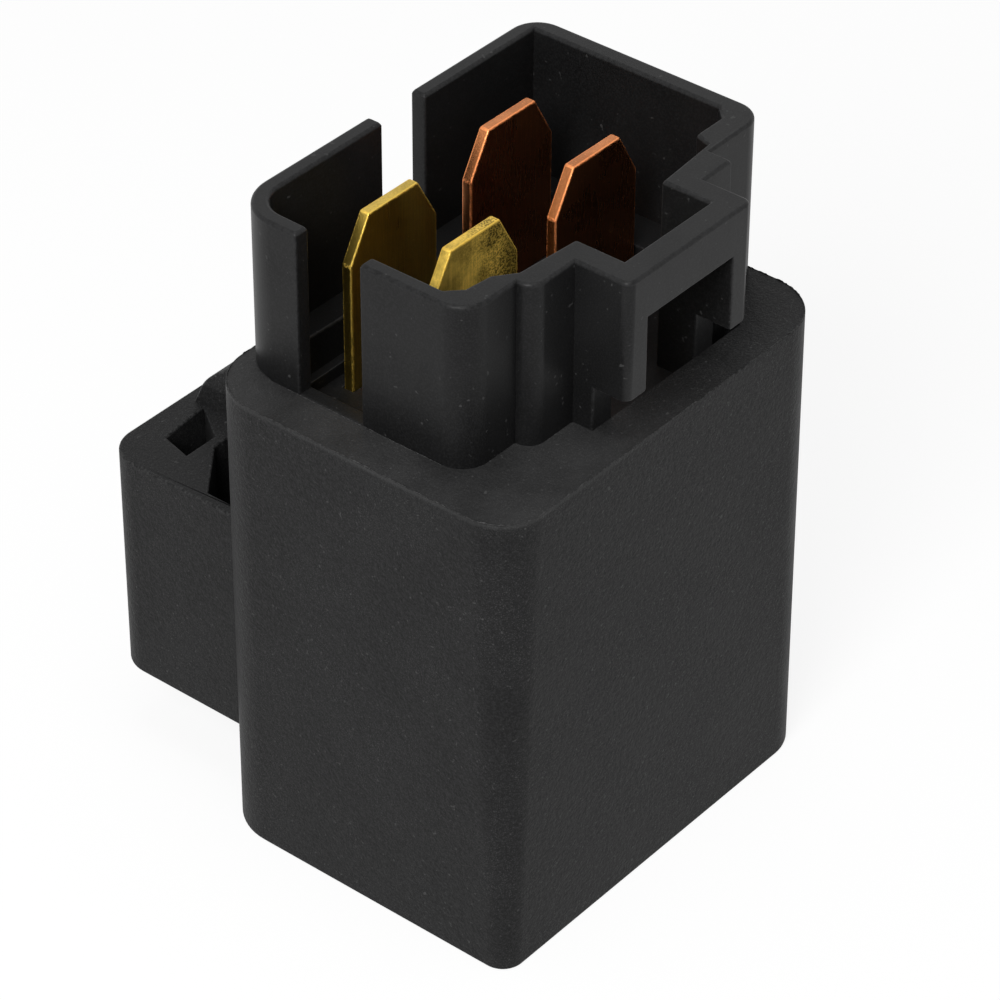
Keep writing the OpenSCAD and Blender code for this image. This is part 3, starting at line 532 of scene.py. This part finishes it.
class RELAY_OT_boot(bpy.types.Operator):
    """Tightens the rubber boot's corners, rounds its edges and adds the torn flash on its rim"""

    bl_idname = "relay.boot"
    bl_label = "Rubber boot"

    def execute(self, context):
        settings = context.scene.relay_boot
        low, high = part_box("rubber_boot")
        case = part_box("inner_case")[1]
        shape = copy_of("rubber_boot")
        x, y = LOOP_CORNER
        for side in (-1, 1):
            tighten_corner(shape, (side * x, y), LOOP_CORNER_LESS)
        for centre, less in FOOT_CORNERS:
            tighten_corner(shape, centre, less, high=low.z)
        slant_pad(shape)

        def on_rim(edge):
            return all(vert.co.z > high.z - WELD for vert in edge.verts)

        def outside(edge):
            return all(abs(vert.co.x) > case.x + WELD or abs(vert.co.y) > case.y + WELD
                       for vert in edge.verts)

        def outer_rim(edge):
            return on_rim(edge) and outside(edge) and edge.calc_face_angle(0) > SHARP

        def opening(edge):
            return on_rim(edge) and not outside(edge)

        def bare_lip(edge):
            return opening(edge) and all(vert.co.x < WELD - case.x for vert in edge.verts)

        def at_foot(edge):
            return all(vert.co.z < low.z + WELD for vert in edge.verts)

        def elsewhere(edge):
            return not outer_rim(edge) and not opening(edge) and all(
                vert.co.z > low.z + settings.foot_edge + WELD for vert in edge.verts)

        rubber = rubber_finish(settings, high.z)
        # Each strip's growth keeps it on the rubber: in from the boot's side, out from the case
        for name, wanted, height, growth in (
                ("rim_flash", outer_rim, settings.flash, -0.003),
                ("lip_flash", bare_lip, settings.flash * LIP_SHARE, 0.004)):
            strip = ragged_strip(shape, wanted, height, growth)
            piece = finish_piece(name, strip, rubber, "boot_rubber")
            thick = piece.modifiers.new("thickness", "SOLIDIFY")
            thick.thickness = FLASH_THICKNESS
            thick.offset = 0
        round_edges(shape, settings.foot_edge, segments=3, wanted=at_foot)
        round_edges(shape, settings.edge, segments=3, wanted=elsewhere)
        finish_piece("boot", shape, rubber, "boot_rubber", "rubber_boot")
        return {"FINISHED"}


class RELAY_OT_base(bpy.types.Operator):
    """Tightens the shroud's back corner and rounds the edges of the connector base"""

    bl_idname = "relay.base"
    bl_label = "Connector base"

    def execute(self, context):
        settings = context.scene.relay_base
        case_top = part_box("inner_case")[1].z
        boot_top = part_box("rubber_boot")[1].z
        shape = copy_of("connector_base")
        tighten_corner(shape, SHROUD_CORNER, SHROUD_CORNER_LESS, low=boot_top)
        thin = Vector(THIN_CORNER)
        corner = [vert for vert in shape.verts
                  if (vert.co.xy - thin).length < THIN_CORNER_REACH]
        bmesh.ops.translate(shape, verts=corner, vec=THIN_CORNER_MOVE)
        rim = max(vert.co.z for vert in shape.verts)

        def on_rim(edge):
            return all(vert.co.z > rim - WELD for vert in edge.verts)

        def above_case(edge):
            return all(vert.co.z > case_top + WELD for vert in edge.verts)

        round_edges(shape, settings.rim_edge, segments=4, wanted=on_rim)
        round_edges(shape, settings.edge, segments=2, wanted=above_case)
        finish_piece("base", shape, base_finish(settings), "base_plastic", "connector_base")
        return {"FINISHED"}


class RELAY_OT_blades(bpy.types.Operator):
    """Coins the edges of the four blades and gives them their metal"""

    bl_idname = "relay.blades"
    bl_label = "Blades"

    def execute(self, context):
        settings = context.scene.relay_blades
        brass, copper = Vector(settings.brass), Vector(settings.copper)
        drawn = blade_finish("brass_blade", brass, tarnish=brass * 0.65, roughness=0.24)
        mottled = blade_finish("mottled_brass_blade", brass, tarnish=brass, roughness=0.42,
                               mottle=0.85)
        plain = blade_finish("copper_blade", copper, tarnish=copper * 0.5, roughness=0.21)
        for node, material, slot in (
                ("coil_blade_rear", drawn, "brass_blade"),
                ("coil_blade_front", mottled, "brass_blade"),
                ("contact_blade_rear", plain, "copper_blade"),
                ("contact_blade_front", plain, "copper_blade")):
            shape = copy_of(node)
            round_edges(shape, settings.edge, segments=2)
            finish_piece(node.replace("_blade", "_tab"), shape, material, slot, node)
        return {"FINISHED"}


class RELAY_OT_inside(bpy.types.Operator):
    """Gives the parts inside the case their finishes"""

    bl_idname = "relay.inside"
    bl_label = "Inner parts"

    def execute(self, context):
        dress(moulded_finish("case_plastic", (0.02, 0.02, 0.021), roughness=0.5), "inner_case")
        dress(moulded_finish("bobbin_plastic", (0.62, 0.56, 0.42), roughness=0.45), "bobbin")
        dress(wound_finish("enamelled_wire", (0.55, 0.2, 0.07), turn=0.00025), "coil_winding")
        dress(metal_finish("soft_iron", (0.48, 0.47, 0.46), roughness=0.35), "iron_core")
        dress(metal_finish("zinc_steel", (0.55, 0.56, 0.58), roughness=0.3),
              "yoke", "armature", "back_stop")
        dress(metal_finish("spring_bronze", (0.6, 0.36, 0.16), roughness=0.3,
                           drawn=(6000, 400, 6000)), "contact_leaf")
        dress(metal_finish("rivet_steel", (0.5, 0.5, 0.52), roughness=0.28),
              "leaf_rivet_front", "leaf_rivet_rear")
        dress(metal_finish("contact_silver", (0.82, 0.81, 0.78), roughness=0.25),
              "moving_contact", "fixed_contact")
        dress(metal_finish("spring_wire", (0.5, 0.5, 0.52), roughness=0.25), "return_spring")
        dress(wound_finish("copper_braid", (0.7, 0.3, 0.14), turn=0.0004), "shunt_braid")
        dress(moulded_finish("resistor_ceramic", (0.3, 0.36, 0.4), roughness=0.35),
              "resistor_body")
        dress(metal_finish("tinned_wire", (0.66, 0.66, 0.66), roughness=0.3),
              "resistor_lead_front", "resistor_lead_rear")
        dress(metal_finish("winding_end_wire", (0.62, 0.24, 0.1), roughness=0.3),
              "coil_lead_front", "coil_lead_rear")
        return {"FINISHED"}


class RELAY_OT_stage(bpy.types.Operator):
    """Sets up the pale floor, the soft lamps and the camera"""

    bl_idname = "relay.stage"
    bl_label = "Stage"

    def execute(self, context):
        settings = context.scene.relay_stage
        self.lay_floor(context.scene, settings)
        self.hang_lamps(context.scene, settings)
        self.light_sky(context.scene, settings)
        self.aim_camera(context.scene, settings)
        context.scene.view_settings.view_transform = "Standard"
        return {"FINISHED"}

    def lay_floor(self, scene, settings):
        """A pale floor that glows where it is in view, so that it fades into the backdrop"""
        shape = bmesh.new()
        bmesh.ops.create_grid(shape, x_segments=1, y_segments=1, size=FLOOR_REACH)
        mesh = bpy.data.meshes.new("floor")
        shape.to_mesh(mesh)
        shape.free()
        material = bpy.data.materials.new("floor")
        nodes = Nodes(material)
        paper = nodes.add("ShaderNodeBsdfDiffuse", sockets={"Color": (*settings.floor, 1.0)})
        glow = nodes.add("ShaderNodeEmission", sockets={"Strength": FLOOR_GLOW})
        both = nodes.add("ShaderNodeMixShader", sockets={
            0: nodes.in_view() * GLOW_SHARE, 1: paper.outputs[0], 2: glow.outputs[0]})
        nodes.add("ShaderNodeOutputMaterial", sockets={"Surface": both.outputs[0]})
        mesh.materials.append(material)
        floor = bpy.data.objects.new("floor", mesh)
        scene.collection.objects.link(floor)

    def hang_lamps(self, scene, settings):
        """Soft round lamps that face the middle of the relay"""
        low, high = CAD_BOX
        middle = (low + high) / 2
        for name, (place, size, share) in LAMPS.items():
            lamp = bpy.data.lights.new(name, "AREA")
            lamp.shape = "DISK"
            lamp.size = size
            lamp.energy = settings.lamps * share
            holder = bpy.data.objects.new(name, lamp)
            holder.location = middle + Vector(place)
            holder.rotation_euler = Vector(place).to_track_quat("Z", "Y").to_euler()
            scene.collection.objects.link(holder)

    def light_sky(self, scene, settings):
        """Dim even light from all around, with a white backdrop in view"""
        world = bpy.data.worlds.new("studio")
        nodes = Nodes(world)
        white = (1.0, 1.0, 1.0, 1.0)
        sky = nodes.add("ShaderNodeBackground", sockets={
            "Color": white, "Strength": settings.sky})
        backdrop = nodes.add("ShaderNodeBackground", sockets={"Color": white})
        both = nodes.add("ShaderNodeMixShader", sockets={
            0: nodes.in_view(), 1: sky.outputs[0], 2: backdrop.outputs[0]})
        nodes.add("ShaderNodeOutputWorld", sockets={"Surface": both.outputs[0]})
        scene.world = world

    def aim_camera(self, scene, settings):
        """The photograph's camera, whose view is turned by the roll about its own axis"""
        camera = bpy.data.cameras.new("camera")
        camera.lens = settings.lens
        camera.sensor_width = 36
        camera.clip_start = 0.01
        holder = bpy.data.objects.new("camera", camera)
        azimuth, elevation, roll = (math.radians(angle) for angle in CAMERA_ANGLES)
        back = Vector((math.sin(azimuth) * math.cos(elevation),
                       -math.cos(azimuth) * math.cos(elevation), math.sin(elevation)))
        right = Vector((math.cos(azimuth), math.sin(azimuth), 0))
        up = back.cross(right)
        turned = right * math.cos(roll) + up * math.sin(roll)
        raised = up * math.cos(roll) - right * math.sin(roll)
        view = Matrix((turned, raised, back)).transposed().to_4x4()
        view.translation = CAMERA_PLACE
        holder.matrix_world = view
        scene.collection.objects.link(holder)
        scene.camera = holder


class RELAY_PT_panel(bpy.types.Panel):
    """Lists the relay's pieces in the sidebar"""

    bl_idname = "RELAY_PT_panel"
    bl_label = "Four-blade relay"
    bl_space_type = "VIEW_3D"
    bl_region_type = "UI"
    bl_category = "Relay"

    def draw(self, context):
        for operator, settings in PANEL_ROWS:
            box = self.layout.box()
            box.operator(operator.bl_idname)
            if settings:
                group = getattr(context.scene, settings)
                for name in group.__annotations__:
                    box.prop(group, name)


# The operators, each with the settings that it reads
PANEL_ROWS = (
    (RELAY_OT_boot, "relay_boot"),
    (RELAY_OT_base, "relay_base"),
    (RELAY_OT_blades, "relay_blades"),
    (RELAY_OT_inside, None),
    (RELAY_OT_stage, "relay_stage"),
)
SETTINGS = {
    "relay_boot": BootSettings,
    "relay_base": BaseSettings,
    "relay_blades": BladeSettings,
    "relay_stage": StageSettings,
}
CLASSES = (*SETTINGS.values(), *(row[0] for row in PANEL_ROWS), RELAY_PT_panel)


def register():
    for kind in CLASSES:
        bpy.utils.register_class(kind)
    for name, kind in SETTINGS.items():
        setattr(bpy.types.Scene, name, PointerProperty(type=kind))


def unregister():
    for name in SETTINGS:
        delattr(bpy.types.Scene, name)
    for kind in reversed(CLASSES):
        bpy.utils.unregister_class(kind)


def main():
    register()
    bpy.ops.relay.boot()
    bpy.ops.relay.base()
    bpy.ops.relay.blades()
    bpy.ops.relay.inside()
    bpy.ops.relay.stage()


if __name__ == "__main__":
    main()
